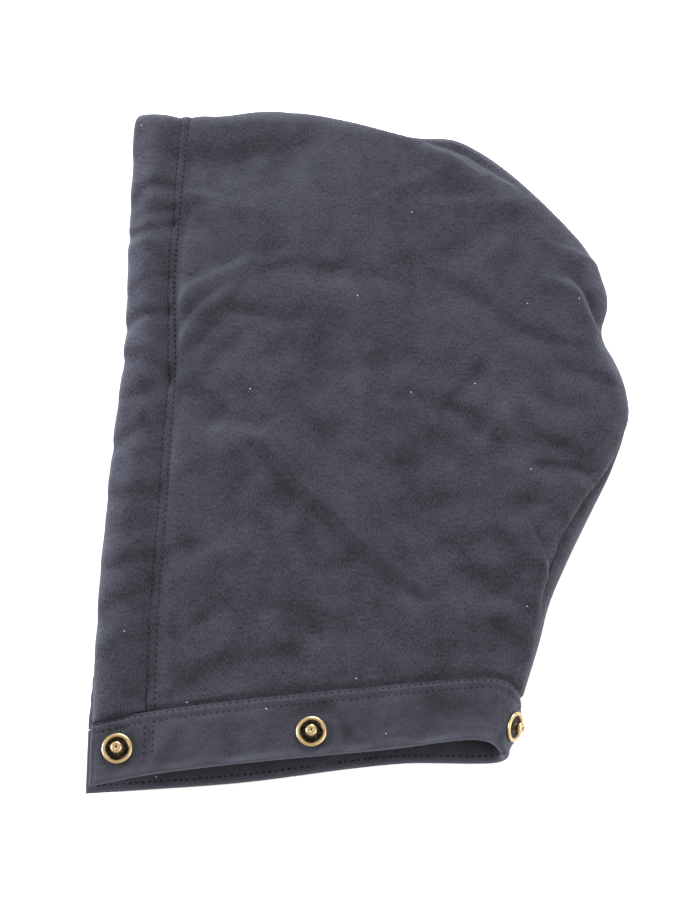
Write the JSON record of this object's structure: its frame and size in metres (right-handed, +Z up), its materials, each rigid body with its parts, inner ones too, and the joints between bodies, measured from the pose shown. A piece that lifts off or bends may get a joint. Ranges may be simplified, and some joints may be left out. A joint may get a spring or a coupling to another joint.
{
  "type": "detachable hood",
  "caption": "Padded knit hood with a turned face hem and a snap band at the neck, taken off its jacket and lying flat on one side.",
  "frame": {"origin": "under the middle of the hood's box, on the surface that it lies on", "axes": "+X from the face opening to the back of the head, +Y from the neck band to the crown, +Z up from the side it lies on"},
  "size_m": [0.2798, 0.3818, 0.0322],
  "materials": {
    "panel_knit": "matt brushed knit",
    "hem_knit": "matt brushed knit, folded and twin stitched",
    "band_knit": "matt brushed knit, folded and twin stitched",
    "snap_brass": "antiqued, worn on the rim"
  },
  "bodies": {
    "root": {"left_panel": "panel_knit", "right_panel": "panel_knit", "face_hem": "hem_knit", "neck_band": "band_knit", "snap_stud_near_front": "snap_brass", "snap_cap_near_front": "snap_brass", "snap_stud_near_middle": "snap_brass", "snap_cap_near_middle": "snap_brass", "snap_stud_centre_back": "snap_brass", "snap_cap_centre_back": "snap_brass", "snap_stud_far_middle": "snap_brass", "snap_cap_far_middle": "snap_brass", "snap_stud_far_front": "snap_brass", "snap_cap_far_front": "snap_brass"}
  },
  "joints": []
}
